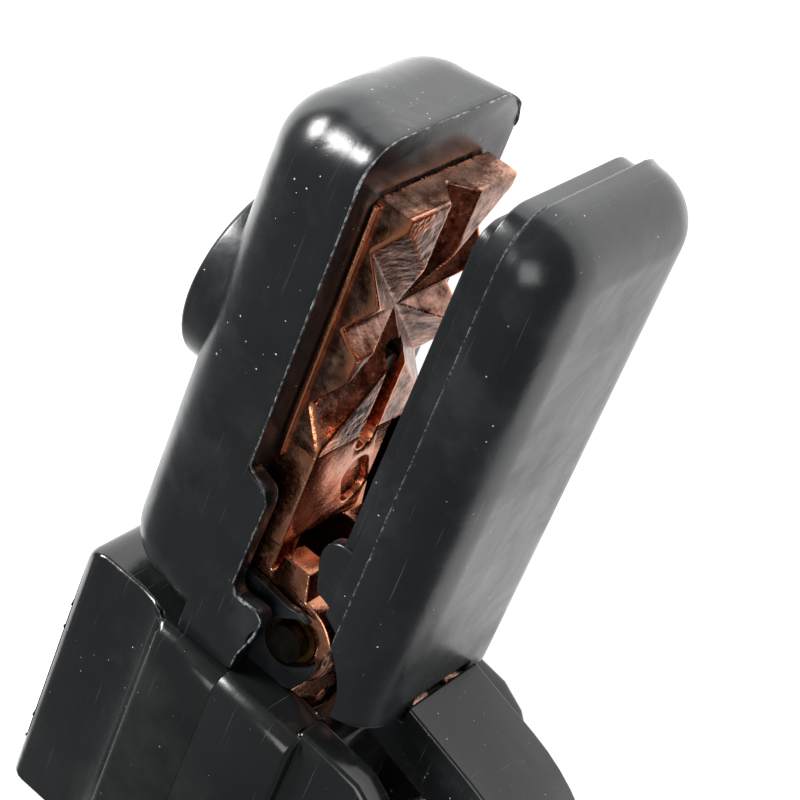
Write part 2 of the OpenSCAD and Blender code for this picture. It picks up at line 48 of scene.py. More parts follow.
# place and clipping in metres, the picture's right and up directions, lens and sensor in millimetres
camera = dict(place=(0.33582, -0.11941, 0.25935), right=(0.3200, -0.7410, -0.5900), up=(0.7520, 0.5770, -0.3170),
              lens=119.3, sensor=36, nearest=0.01, farthest=20)
cameraData = bpy.data.cameras.new("camera")
cameraData.lens, cameraData.sensor_width = camera["lens"], camera["sensor"]
cameraData.clip_start, cameraData.clip_end = camera["nearest"], camera["farthest"]
cameraObject = bpy.data.objects.new("camera", cameraData)
bpy.context.scene.collection.objects.link(cameraObject)
right = Vector(camera["right"]).normalized()
back = right.cross(Vector(camera["up"])).normalized()
up = back.cross(right)
cameraObject.matrix_world = Matrix.Translation(camera["place"]) @ Matrix((right, up, back)).transposed().to_4x4()
bpy.context.scene.camera = cameraObject
print("camera placed")


# sRGB hex to the linear colour that the shaders take
def colour(hexValue):
    parts = [int(hexValue[i:i + 2], 16) / 255 for i in (1, 3, 5)]
    return tuple(c / 12.92 if c <= 0.04045 else ((c + 0.055) / 1.055) ** 2.4 for c in parts) + (1,)


# adds a node with its settings, and links or sets its inputs
def addNode(material, kind, inputs=None, **settings):
    node = material.node_tree.nodes.new("ShaderNode" + kind)
    for key, value in settings.items():
        setattr(node, key, value)
    for key, value in (inputs or {}).items():
        if isinstance(value, bpy.types.NodeSocket):
            material.node_tree.links.new(value, node.inputs[key])
        else:
            node.inputs[key].default_value = value
    return node


# a new material, its node tree's links, its shader, and the place on the piece (m) that its patterns follow
def newMaterial(name):
    material = bpy.data.materials.new(name)
    material.use_nodes = True
    shader = material.node_tree.nodes["Principled BSDF"]
    return material, material.node_tree.links, shader, addNode(material, "TexCoord").outputs["Object"]


# smooth random heights from -1 to 1: random values on a unit lattice, eased between the eight corners round each point
def lumps(points, size, seed=0):
    p = points / size
    cell = np.floor(p)
    f = p - cell
    f = f * f * (3 - 2 * f)
    scatter = np.array([127.1, 311.7, 74.7])  # large unrelated factors, whose sine has no visible pattern
    total = 0
    for corner in np.ndindex(2, 2, 2):
        c = np.array(corner)
        h = np.sin((cell + c) @ scatter + seed * 17.3) * 43758.5453
        total = total + (h - np.floor(h)) * np.prod(np.where(c, f, 1 - f), axis=-1)
    return total * 2 - 1


# puts points (mm) and faces into a new mesh object, smooth up to an angle in degrees
def newPiece(name, points, faces, sharp=35):
    mesh = bpy.data.meshes.new(name)
    mesh.from_pydata((np.asarray(points, float) * mm).tolist(), [], [list(map(int, f)) for f in faces])
    mesh.update()
    piece = bpy.data.objects.new(name, mesh)
    bpy.context.scene.collection.objects.link(piece)
    shade(piece, sharp)
    return piece


def shade(piece, sharp):
    piece.data.polygons.foreach_set("use_smooth", np.ones(len(piece.data.polygons), bool))
    piece.data.set_sharp_from_angle(angle=math.radians(sharp))


# faces of a stack of closed rings, each of n points, with its first and last ring filled
def ringFaces(rings, n):
    i, k = np.meshgrid(np.arange(rings - 1), np.arange(n), indexing="ij")
    a, b = i * n + k, i * n + (k + 1) % n
    faces = np.stack([a, b, b + n, a + n], -1).reshape(-1, 4).tolist()
    return faces + [list(range(n))[::-1], list(range((rings - 1) * n, rings * n))]


# normals made to point outwards, which a closed shell of rings may need
def outward(piece):
    bm = bmesh.new()
    bm.from_mesh(piece.data)
    bmesh.ops.recalc_face_normals(bm, faces=bm.faces)
    bm.to_mesh(piece.data)
    bm.free()
    return piece


# a rectangle in X and Z with a quarter circle at each corner, and the same number of points for every size
def roundRectangle(x0, x1, half, radius, tailRadius):
    perCorner, perSide, smallest = 12, 10, 0.02
    radii = np.maximum([radius, tailRadius, tailRadius, radius], smallest)
    turn = np.linspace(0, quarterTurn, perCorner)
    inwards = np.array([[-1, -1], [1, -1], [1, 1], [-1, 1]])
    centres = np.array([[x1, half], [x0, half], [x0, -half], [x1, -half]]) + radii[:, None] * inwards
    points = []
    for quarter, centre in enumerate(centres):
        start = turn + quarter * quarterTurn
        arc = centre + radii[quarter] * np.stack([np.cos(start), np.sin(start)], -1)
        following, end = (quarter + 1) % 4, (quarter + 1) * quarterTurn
        nextStart = centres[following] + radii[following] * np.array([math.cos(end), math.sin(end)])
        run = arc[-1] + np.linspace(0, 1, perSide + 1)[1:-1, None] * (nextStart - arc[-1])
        points += [arc, run]
    return np.concatenate(points)


# a closed outline (mm) with each corner turned into a curve: a quadratic one, with the corner as its handle
def roundOutline(corners, radius):
    perCorner, mostOfSide = 5, 0.45
    corners = np.asarray(corners, float)
    before, after = np.roll(corners, 1, 0) - corners, np.roll(corners, -1, 0) - corners
    lenBefore, lenAfter = np.linalg.norm(before, axis=1), np.linalg.norm(after, axis=1)
    before, after = before / lenBefore[:, None], after / lenAfter[:, None]
    reach = np.minimum(radius, mostOfSide * np.minimum(lenBefore, lenAfter))[:, None, None]
    t = np.linspace(0, 1, perCorner)[None, :, None]
    return (corners[:, None] + before[:, None] * reach * (1 - t) ** 2 + after[:, None] * reach * t ** 2).reshape(-1, 2)


# an outline in X and Y carried from z0 to z1, its two rims rounded by an edge radius
def plate(name, outline, z0, z1, edge, steps=4):
    tangent = np.roll(outline, -1, 0) - np.roll(outline, 1, 0)
    tangent /= np.linalg.norm(tangent, axis=1)[:, None] + 1e-9
    area = 0.5 * np.sum(outline[:, 0] * np.roll(outline[:, 1], -1) - np.roll(outline[:, 0], -1) * outline[:, 1])
    inward = np.stack([-tangent[:, 1], tangent[:, 0]], -1) * np.sign(area)
    a = np.linspace(0, quarterTurn, steps)
    inset = np.concatenate([edge * (1 - np.sin(a)), edge * (1 - np.cos(a))])
    height = np.concatenate([z0 + edge * (1 - np.cos(a)), z1 - edge + edge * np.sin(a)])
    flat = outline[None] + inward[None] * inset[:, None, None]
    points = np.concatenate([flat, np.broadcast_to(height[:, None, None], flat.shape[:2] + (1,))], -1)
    return outward(newPiece(name, points.reshape(-1, 3), ringFaces(len(height), len(outline))))


# the same plate on both sides of the middle, between two distances from it
def platePair(name, s):
    outline = roundOutline(s["corners"], s["round"])
    spans = (s["inner"], s["outer"]), (-s["outer"], -s["inner"])
    return [plate(name, outline, z0, z1, s["edge"]) for z0, z1 in spans]


# a straight cutter through the whole width, with sharp rims
def cutter(outline):
    reach = 30  # half the cutter's length (mm), beyond either side of the clamp
    return plate("cutter", outline, -reach, reach, 0.01, 2)


# the result of modifiers, made the piece's own mesh
def settle(piece):
    graph = bpy.context.evaluated_depsgraph_get()
    graph.update()
    mesh = bpy.data.meshes.new_from_object(piece.evaluated_get(graph))
    piece.modifiers.clear()
    piece.data = mesh
    return piece


# joins or cuts closed meshes, one tool after another
def carve(piece, tools, operation):
    for tool in tools:
        modifier = piece.modifiers.new("carve", "BOOLEAN")
        modifier.object, modifier.operation, modifier.solver = tool, operation, "EXACT"
        settle(piece)
        bpy.data.objects.remove(tool)
    return piece


def box(low, high):
    x, y, z = zip(low, high)
    points = [(x[i], y[j], z[k]) for i in (0, 1) for j in (0, 1) for k in (0, 1)]
    faces = [(0, 1, 3, 2), (4, 6, 7, 5), (0, 4, 5, 1), (2, 3, 7, 6), (0, 2, 6, 4), (1, 5, 7, 3)]
    return outward(newPiece("box", points, faces))


# a profile of (radius, height) pairs turned round an axis along Y at (x, z)
def turned(name, x, z, profile):
    around = 96  # points in each ring
    radius, height = np.array(profile, float).T[:, :, None]
    a = np.linspace(0, fullTurn, around, endpoint=False)
    points = np.stack([x + radius * np.cos(a), np.repeat(height, around, 1), z + radius * np.sin(a)], -1)
    return outward(newPiece(name, points.reshape(-1, 3), ringFaces(len(radius), around)))


# a CAD node's shape with its edges softened by a width (mm), less along the seam at Y = 0, and without what lies
# beyond a plane across X
def softened(node, width, segments=3, keepBelowX=None, seamShare=1.0):
    weld, flat, onPlane = 2e-6, 0.004, 1e-5  # distances in metres, and an angle in radians
    creased = math.radians(28)
    insideShare = 0.15  # rounding an inside corner would add material where something may move
    bm = bmesh.new()
    bm.from_mesh(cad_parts[node].data)
    bmesh.ops.remove_doubles(bm, verts=bm.verts, dist=weld)
    if keepBelowX is not None:
        everything = bm.verts[:] + bm.edges[:] + bm.faces[:]
        bmesh.ops.bisect_plane(bm, geom=everything, plane_co=(keepBelowX * mm, 0, 0), plane_no=(1, 0, 0),
                               clear_outer=True)
        bmesh.ops.holes_fill(bm, edges=[e for e in bm.edges if e.is_boundary])
    bmesh.ops.dissolve_limit(bm, angle_limit=flat, verts=bm.verts, edges=bm.edges)
    weight = bm.edges.layers.float.new("bevel_weight_edge")
    for edge in bm.edges:
        onSeam = max(abs(v.co.y) for v in edge.verts) < onPlane
        share = insideShare if edge.calc_face_angle_signed(0.0) < 0 else seamShare if onSeam else 1.0
        edge[weight] = share if edge.calc_face_angle(0.0) > creased else 0.0
    mesh = bpy.data.meshes.new("softened")
    bm.to_mesh(mesh)
    bm.free()
    piece = bpy.data.objects.new("softened", mesh)
    bpy.context.scene.collection.objects.link(piece)
    mesh.polygons.foreach_set("use_smooth", np.ones(len(mesh.polygons), bool))
    bevel = piece.modifiers.new("softEdges", "BEVEL")
    bevel.width, bevel.segments, bevel.limit_method = width * mm, segments, "WEIGHT"
    bevel.use_clamp_overlap, bevel.harden_normals, bevel.miter_outer = False, True, "MITER_ARC"
    return settle(piece)


# a ragged ridge of flash along a path (mm): a thin blade whose height and lean change at random, closed all round
def flashRidge(name, path, outwardWay, s, body, seed):
    ragged = dict(gain=1.5, cut=0.45, power=1.5, notch=0.4, fineShare=3.5, leanRun=1.3, lean=0.35, tip=0.35)
    path = np.asarray(path, float)
    length = np.concatenate([[0], np.cumsum(np.linalg.norm(np.diff(path, axis=0), axis=1))])
    t = np.linspace(0, length[-1], max(int(length[-1] / s["step"]), 8))
    line = np.stack([np.interp(t, length, path[:, k]) for k in range(3)], -1)
    way = np.asarray(outwardWay, float) / np.linalg.norm(outwardWay)
    along = np.gradient(line, axis=0)
    along /= np.linalg.norm(along, axis=1)[:, None]
    across = np.cross(along, way)
    # long tears cut off below a level and raised to a power, times fine notches
    torn = 0.5 + 0.5 * lumps(line, s["tear"], seed)
    torn = np.clip(torn * ragged["gain"] - ragged["cut"], 0, 1) ** ragged["power"]
    fine = 0.5 + 0.5 * lumps(line, s["tear"] / ragged["fineShare"], seed + 1)
    height = s["low"] + (s["high"] - s["low"]) * torn * (ragged["notch"] + (1 - ragged["notch"]) * fine)
    lean = (lumps(line, s["tear"] * ragged["leanRun"], seed + 2) * ragged["lean"] * height)[:, None]
    side = across * (s["thick"] / 2)
    foot = line - way * s["sink"]
    tip = line + way * height[:, None] + across * lean
    ring = np.stack([foot - side, foot + side, tip + side * ragged["tip"], tip - side * ragged["tip"]], 1)
    piece = outward(newPiece(name, ring.reshape(-1, 3), ringFaces(len(t), 4), sharp=20))
    return fit(piece, name, body, s["slot"], flashPlastic)


# a path round a cover's tip at one height: a quarter circle at each corner, joined by a straight line
def tipPath(x, y, half, radius=6.4, count=40):
    a = np.linspace(quarterTurn, -quarterTurn, count)
    z = np.sign(np.sin(a)) * half + radius * np.sin(a)
    return np.stack([x + radius * np.cos(a), np.full(count, y), z], -1)


# puts a finished piece on its body, with its finish, in place of CAD nodes
def fit(piece, name, body, slotName, material, *nodes):
    piece.name = piece.data.name = name
    piece.data.materials.clear()
    piece.data.materials.append(material)
    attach(piece, body)
    if nodes:
        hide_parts(*nodes)
    return piece


# Black moulded plastic: satin, with flow marks, pale dust in two sizes, dull scuffed patches and fine scratches.
def mouldedPlastic(name, look):
    material, links, shader, place = newMaterial(name)
    # flow marks about 11 mm long, and the fine grain of the mould
    flow = addNode(material, "TexNoise", {"Vector": place, "Scale": 1 / (11 * mm), "Detail": 3.0,
                                          "Roughness": 0.5, "Distortion": 0.6})
    grain = addNode(material, "TexNoise", {"Vector": place, "Scale": 1 / (look["grainSize"] * mm), "Detail": 3.0,
                                           "Roughness": 0.65})
    # dust gathers in patches about 12 mm across
    dusty = addNode(material, "TexNoise", {"Vector": place, "Scale": 1 / (12 * mm), "Detail": 2.0})
    wanted = addNode(material, "MapRange", {"Value": dusty.outputs["Fac"], "From Min": 0.38, "From Max": 0.58})

    # round specks: a share of the cells of a random lattice each hold one, of a random size
    def specks(spacing, share, largest, often):
        cells = addNode(material, "TexVoronoi", {"Vector": place, "Scale": 1 / (spacing * mm)}, feature="F1")
        chance = addNode(material, "SeparateColor", {"Color": cells.outputs["Color"]})
        size = addNode(material, "MapRange", {"Value": chance.outputs["Red"], "From Min": 1 - share,
                                              "From Max": 1.0, "To Min": 0.0, "To Max": largest / spacing})
        inside = addNode(material, "Math", {0: cells.outputs["Distance"], 1: size.outputs["Result"]},
                         operation="LESS_THAN")
        return addNode(material, "Math", {0: inside.outputs[0], 1: often}, operation="MULTIPLY").outputs[0]

    small = specks(look["speckSpacing"], look["speckShare"], look["speckSize"], wanted.outputs["Result"])
    large = specks(spacing=5.5, share=0.35, largest=0.2, often=0.8)
    speck = addNode(material, "Math", {0: small, 1: large}, operation="MAXIMUM")
    # scratches: noise drawn out along a slanted line, 14 mm by 0.22 mm by 9 mm, and cut to its highest crests
    stretched = addNode(material, "Mapping", {"Vector": place, "Rotation": (0.3, 0.5, 0.45),
                                              "Scale": (1 / (14 * mm), 1 / (0.22 * mm), 1 / (9 * mm))})
    lines = addNode(material, "TexNoise", {"Vector": stretched.outputs["Vector"], "Scale": 1.0, "Detail": 1.0})
    scratch = addNode(material, "MapRange", {"Value": lines.outputs["Fac"], "From Min": 0.73, "From Max": 0.8})
    # scuffed patches about 16 mm across
    worn = addNode(material, "TexNoise", {"Vector": place, "Scale": 1 / (16 * mm), "Detail": 5.0,
                                          "Roughness": 0.62})
    scuff = addNode(material, "MapRange", {"Value": worn.outputs["Fac"], "From Min": 0.5, "From Max": 0.68})
    tone = addNode(material, "Mix", {"Factor": flow.outputs["Fac"], "A": colour(look["dark"]),
                                     "B": colour(look["light"])}, data_type="RGBA")
    hazy = addNode(material, "Mix", {"Factor": scuff.outputs["Result"], "A": tone.outputs["Result"],
                                     "B": colour(look["haze"])}, data_type="RGBA")
    scratched = addNode(material, "Math", {0: scratch.outputs["Result"], 1: 0.35}, operation="MULTIPLY")
    lined = addNode(material, "Mix", {"Factor": scratched.outputs[0], "A": hazy.outputs["Result"],
                                      "B": colour("#6e7274")}, data_type="RGBA")
    dusted = addNode(material, "Mix", {"Factor": speck.outputs[0], "A": lined.outputs["Result"],
                                       "B": colour("#c4c8ca")}, data_type="RGBA")
    # roughness: a little change along the flow marks, more where scuffed, most on dust
    shine = addNode(material, "MapRange", {"Value": flow.outputs["Fac"], "From Min": 0.3, "From Max": 0.7,
                                           "To Min": look["roughness"] - 0.05, "To Max": look["roughness"] + 0.05})
    scuffed = addNode(material, "Math", {0: scuff.outputs["Result"], 1: 0.16, 2: shine.outputs["Result"]},
                      operation="MULTIPLY_ADD")
    dull = addNode(material, "Math", {0: speck.outputs[0], 1: 0.5, 2: scuffed.outputs[0]},
                   operation="MULTIPLY_ADD")
    waves = addNode(material, "Bump", {"Height": flow.outputs["Fac"], "Strength": 0.22, "Distance": 0.9 * mm})
    fine = addNode(material, "Bump", {"Height": grain.outputs["Fac"], "Normal": waves.outputs["Normal"],
                                      "Strength": look["grainStrength"], "Distance": 0.06 * mm})
    links.new(dusted.outputs["Result"], shader.inputs["Base Color"])
    links.new(dull.outputs[0], shader.inputs["Roughness"])
    links.new(fine.outputs["Normal"], shader.inputs["Normal"])
    shader.inputs["IOR"].default_value = 1.53
    return material


# sizes in mm
coverLook = dict(dark="#131416", light="#1d1f21", haze="#26282a", roughness=0.25, grainSize=0.5,
                 grainStrength=0.16, speckSpacing=1.3, speckShare=0.3, speckSize=0.15)
bodyLook = dict(dark="#111213", light="#1b1c1c", haze="#232423", roughness=0.2, grainSize=0.6,
                grainStrength=0.16, speckSpacing=1.1, speckShare=0.28, speckSize=0.13)
leverLook = dict(dark="#101112", light="#191a1b", haze="#222323", roughness=0.24, grainSize=0.4,
                 grainStrength=0.2, speckSpacing=0.9, speckShare=0.3, speckSize=0.11)
coverPlastic = mouldedPlastic("mouldedBlackPlastic", coverLook)  # heat-proof plastic: bluish, with soft highlights
bodyPlastic = mouldedPlastic("mouldedBlackNylon", bodyLook)  # nylon: a warmer black, the glossiest of the three
leverPlastic = mouldedPlastic("dustyBlackNylon", leverLook)  # handled nylon: the darkest, with a tight dusty grain


# Ragged flash at a mould's parting line: thin broken plastic that scatters light and looks pale grey.
def tornPlasticFlash():
    material, links, shader, place = newMaterial("tornPlasticFlash")
    chips = addNode(material, "TexNoise", {"Vector": place, "Scale": 1 / (0.9 * mm), "Detail": 4.0,
                                           "Roughness": 0.7})
    pale = addNode(material, "ValToRGB", {"Fac": chips.outputs["Fac"]})
    dark, light = pale.color_ramp.elements
    dark.position, dark.color = 0.45, colour("#26292b")
    light.position, light.color = 0.72, colour("#a9afb0")
    relief = addNode(material, "Bump", {"Height": chips.outputs["Fac"], "Strength": 0.6, "Distance": 0.15 * mm})
    links.new(pale.outputs["Color"], shader.inputs["Base Color"])
    links.new(relief.outputs["Normal"], shader.inputs["Normal"])
    shader.inputs["Roughness"].default_value = 0.55
    return material


# Cast copper alloy: pinkish brown and rough from the mould, dark where it has oxidised, and bright orange where
# edges were rubbed clean and where highlights are painted on, as a point attribute holds for each point.
def castCopperAlloy():
    material, links, shader, place = newMaterial("castCopperAlloy")
    oxide = addNode(material, "TexNoise", {"Vector": place, "Scale": 1 / (3.2 * mm), "Detail": 5.0,
                                           "Roughness": 0.65})
    pits = addNode(material, "TexNoise", {"Vector": place, "Scale": 1 / (0.7 * mm), "Detail": 4.0,
                                          "Roughness": 0.6})
    wearAndHighlight = addNode(material, "Attribute", attribute_name="wearAndHighlight")
    brown = addNode(material, "ValToRGB", {"Fac": oxide.outputs["Fac"]})
    dark, light = brown.color_ramp.elements
    dark.position, dark.color = 0.38, colour("#46291f")
    light.position, light.color = 0.66, colour("#c59a88")
    # the same bright orange serves both the rubbed edges and the painted highlights
    bright = addNode(material, "Mix", {"Factor": wearAndHighlight.outputs["Fac"], "A": brown.outputs["Color"],
                                       "B": colour("#f7a277")}, data_type="RGBA")
    dullness = addNode(material, "MapRange", {"Value": pits.outputs["Fac"], "From Min": 0.3, "From Max": 0.7,
                                              "To Min": 0.16, "To Max": 0.34})
    shine = addNode(material, "Math", {0: wearAndHighlight.outputs["Fac"], 1: -0.04, 2: dullness.outputs["Result"]},
                    operation="MULTIPLY_ADD")
    sandMarks = addNode(material, "Bump", {"Height": pits.outputs["Fac"], "Strength": 0.3, "Distance": 0.07 * mm})
    relief = addNode(material, "Bump", {"Height": oxide.outputs["Fac"], "Normal": sandMarks.outputs["Normal"],
                                        "Strength": 0.35, "Distance": 0.4 * mm})
    links.new(bright.outputs["Result"], shader.inputs["Base Color"])
    links.new(shine.outputs[0], shader.inputs["Roughness"])
    links.new(relief.outputs["Normal"], shader.inputs["Normal"])
    shader.inputs["Metallic"].default_value = 1.0
    return material


# Plain metals and fittings: a base colour broken by fine wear (size in mm), with a light turned or drawn bump.
def plainFinish(name, dark, light, metallic, low, high, grainSize):
    material, links, shader, place = newMaterial(name)
    wear = addNode(material, "TexNoise", {"Vector": place, "Scale": 1 / (grainSize * mm), "Detail": 4.0,
                                          "Roughness": 0.6})
    tone = addNode(material, "Mix", {"Factor": wear.outputs["Fac"], "A": colour(dark), "B": colour(light)},
                   data_type="RGBA")
    shine = addNode(material, "MapRange", {"Value": wear.outputs["Fac"], "From Min": 0.3, "From Max": 0.7,
                                           "To Min": low, "To Max": high})
    relief = addNode(material, "Bump", {"Height": wear.outputs["Fac"], "Strength": 0.2, "Distance": 0.08 * mm})
    links.new(tone.outputs["Result"], shader.inputs["Base Color"])
    links.new(shine.outputs["Result"], shader.inputs["Roughness"])
    links.new(relief.outputs["Normal"], shader.inputs["Normal"])
    shader.inputs["Metallic"].default_value = metallic
    return material


flashPlastic = tornPlasticFlash()
castCopper = castCopperAlloy()
# blackened steel: dark and dull; oiled steel: nearly black, with a film that shines
blackenedSteel = plainFinish("blackenedScrewSteel", "#1d1b19", "#4a4642", 1.0, 0.25, 0.45, 1.2)
oiledSteel = plainFinish("oiledPinSteel", "#17140f", "#3c372c", 1.0, 0.22, 0.42, 1.6)
# drawn wire: light grey with a sharp shine
springWire = plainFinish("drawnSpringWire", "#77787a", "#a9abad", 1.0, 0.2, 0.34, 0.6)
# turned brass: clear yellow; oiled brass: brown, with golden spots
turnedBrass = plainFinish("turnedBrass", "#8a6c36", "#d9b673", 1.0, 0.2, 0.38, 1.0)
darkBrass = plainFinish("oiledBrass", "#3c2a16", "#8a6636", 1.0, 0.25, 0.45, 1.0)
# vulcanised fibre: matt brick red; rubber: matt black; moulded seat: matt greyish brown
redFibre = plainFinish("vulcanisedFibre", "#4a1d15", "#6b2c20", 0.0, 0.5, 0.7, 2.0)
blackRubber = plainFinish("mattBlackRubber", "#131313", "#1f1f1f", 0.0, 0.6, 0.8, 0.8)
seatPlastic = plainFinish("brownMouldedSeat", "#3a332a", "#4c4438", 0.0, 0.4, 0.6, 1.5)
print("materials made")


# Stack of round rectangles: a small radius at the parting rim, a straight side, then a quarter circle to the flat
# back. A lip stands on the rim in two steps, each with its own rounded edge.
def coverShell(s, direction, lip=None):
    straightEnd = s["depth"] - s["fillet"]
    smallest = 2.5  # corner radius (mm) that no ring goes below

    # a rounded edge as pairs of inset and height
    def edgeCurve(inset, start, radius):
        return [(inset + radius * (1 - math.sin(a)), start + radius * (1 - math.cos(a)))
                for a in np.linspace(0, quarterTurn, 4)]

    rings = []
    if lip:
        rings += edgeCurve(lip["rimStep"], -lip["rim"], lip["rimEdge"])
        rings += [(lip["rimStep"], -lip["height"] - lip["foot"]), (lip["rimStep"] - lip["foot"], -lip["height"])]
        rings += edgeCurve(lip["step"], -lip["height"], lip["edge"])
        rings += [(lip["step"], -lip["rootHigh"]), (lip["step"] - lip["rootWide"], 0.0)]
    rings += edgeCurve(0, 0, s["rim"])
    rings += [(0, h) for h in np.linspace(s["rim"], straightEnd, 8)[1:-1]]
    rings += [(s["fillet"] * (1 - math.cos(a)), straightEnd + s["fillet"] * math.sin(a))
              for a in np.linspace(0, quarterTurn, 22)]
    stack = []
    for inset, h in rings:
        share = np.clip(h / straightEnd, 0, 1)
        radius = s["corner"] + (s["fillet"] - s["corner"]) * share
        tipInset = inset + (lip["rimEnd"] if lip and h <= -lip["height"] else 0)
        tailInset, tailRadius = inset, max(radius - inset, smallest)
        if "tailEdge" in s:  # nearly square at the tail
            over = max(h - s["depth"] + s["tailEdge"], 0)
            tailInset = s["tailEdge"] - math.sqrt(max(s["tailEdge"] ** 2 - over ** 2, 0))
            tailRadius = s["tailEdge"]
        flat = roundRectangle(s["x0"] + tailInset, s["x1"] - tipInset, s["half"] - inset,
                              max(radius - inset, smallest), tailRadius)
        y = s["plane"] + direction * h
        stack.append(np.stack([flat[:, 0], np.full(len(flat), y), flat[:, 1]], -1))
    return outward(newPiece("cover", np.concatenate(stack), ringFaces(len(stack), len(stack[0]))))


pivot = (100, -4.2)  # the hinge's axis in X and Y (mm)
coverSharp = 32  # degrees up to which a cover is shaded smooth
# the flash on the covers (mm): its step along the path, the length of its tears, its heights, thickness and root
flash = dict(step=0.12, tear=0.8, low=0.05, high=0.65, thick=0.4, sink=0.25, slot="cover_plastic")

fixedCover = dict(x0=93.2, x1=175.3, plane=8.4, depth=17.0, half=17.3, corner=6.5, fillet=9.5, rim=0.35,
                  pocket=((60, 0, -11.8), (165.9, 15.4, 11.8)))
cheek = dict(inner=14.5, outer=17.3, edge=0.3, round=0.9,
             corners=[(124, 10.0), (122.4, 4.8), (120.6, 4.0), (106, 4.4), (104.6, 3.4), (105, -0.6), (104, -1.8),
                      (100.6, -1.6), (96.4, 0.0), (93.2, 0.0), (93.2, 10.0)])
web = dict(inner=11.7, outer=13.0, edge=0.2, round=1.6,
           corners=[(93.2, 9.5), (93.2, -7.4), (97.6, -9.6), (101.6, -9.6), (104.6, -7.6), (105.6, -4.2),
                    (105.3, -2.4), (106, 4), (106, 9.5)])
shell = coverShell(fixedCover, 1)
carve(shell, [box(*fixedCover["pocket"])], "DIFFERENCE")
carve(shell, platePair("cheek", cheek) + platePair("web", web), "UNION")
# an oval hole: two half circles, one round the pin and one shifted towards the moving jaw
hole = dict(radius=3.6, shift=(1.4, -1.8), turn=52.1)
a = np.linspace(0, fullTurn, 96, endpoint=False)
beyond = np.cos(a + math.radians(hole["turn"])) > 0
oval = np.stack([pivot[0] + hole["shift"][0] * beyond + hole["radius"] * np.cos(a),
                 pivot[1] + hole["shift"][1] * beyond + hole["radius"] * np.sin(a)], -1)
carve(shell, [cutter(oval)], "DIFFERENCE")
# the round boss on the back, with its screw's hole
boss = dict(x=138.3, radius=15.0, foot=20.0, face=27.8, edge=1.0, holeRadius=6.0, holeEdge=0.4, holeFloor=21.8,
            middle=0.01)
bossProfile = [(boss["middle"], boss["foot"]), (boss["radius"], boss["foot"])]
bossProfile += [(boss["radius"] - boss["edge"] * (1 - math.cos(a)), boss["face"] - boss["edge"] * (1 - math.sin(a)))
                for a in np.linspace(0, quarterTurn, 6)]
bossProfile += [(boss["holeRadius"] + boss["holeEdge"], boss["face"]),
                (boss["holeRadius"], boss["face"] - boss["holeEdge"]),
                (boss["holeRadius"], boss["holeFloor"]), (boss["middle"], boss["holeFloor"])]
carve(shell, [turned("boss", boss["x"], 0, bossProfile)], "UNION")
shade(shell, coverSharp)
fit(shell, "fixedJawCover", "body", "cover_plastic", coverPlastic, "fixed_jaw_cover")
# flash along the rim, down round the cheek's steps and back to the tail
flashZ = 17.2
rimLine = [(168.6, 8.4), (124.4, 8.4), (123.9, 8.0), (122.6, 5.2), (120.6, 4.1), (106.2, 4.4), (104.7, 3.2),
           (104.9, -0.4), (104.0, -1.7), (100.8, -1.5), (96.6, -0.1), (93.8, 0.1)]
flashRidge("fixedCoverFlash", [(x, y, flashZ) for x, y in rimLine], (0, -0.6, 0.8), flash, "body", 3)
flashRidge("fixedCoverTipFlash", tipPath(168.7, fixedCover["plane"], 10.8), (0.5, -0.85, 0),
           dict(flash, high=0.6, tear=1.6), "body", 8)
print("fixed cover made")

movingCover = dict(x0=98.2, x1=179.5, plane=-12.5, depth=9.6, half=17.3, corner=7.3, fillet=8.0, rim=0.35,
                   tailEdge=0.8, pocket=((60, -19.5, -11.8), (170.5, 20, 11.8)),
                   tailCut=((80, -40, -6.3), (101.4, 20, 6.3)), pivotRoom=12)
movingLip = dict(height=3.4, step=1.8, edge=0.4, foot=0.1, rootHigh=0.3, rootWide=0.25, rim=5.6, rimStep=3.6,
                 rimEdge=0.35, rimEnd=2.3)
tab = dict(inner=11.9, outer=14.2, edge=0.4, round=1.4,
           corners=[(121, -13.5), (121, -6.8), (120.2, -5.3), (118.6, -4.4), (116.5, -4.4), (104.5, -8.4),
                    (101, -13.5)])
shell = coverShell(movingCover, -1, movingLip)
carve(shell, [box(*movingCover["pocket"])], "DIFFERENCE")
carve(shell, platePair("tab", tab), "UNION")
# room for the jaw's knuckle round the pivot, and for the blade behind it
a = np.linspace(0, fullTurn, 128, endpoint=False)
room = np.stack([pivot[0] + movingCover["pivotRoom"] * np.cos(a), pivot[1] + movingCover["pivotRoom"] * np.sin(a)], -1)
carve(shell, [cutter(room), box(*movingCover["tailCut"])], "DIFFERENCE")
shade(shell, coverSharp)
fit(shell, "movingJawCover", "lever", "cover_plastic", coverPlastic, "moving_jaw_cover")
lipLine = [(104.8, movingCover["plane"], flashZ), (172.9, movingCover["plane"], flashZ)]
flashRidge("movingCoverFlash", lipLine, (0, 0.5, 0.8), dict(flash, high=0.3, thick=0.2), "lever", 5)
flashRidge("movingCoverTipFlash", tipPath(172.7, movingCover["plane"], 10.7), (0.8, 0.5, 0),
           dict(flash, high=0.22, thick=0.2, sink=0.3), "lever", 6)
print("moving cover made")

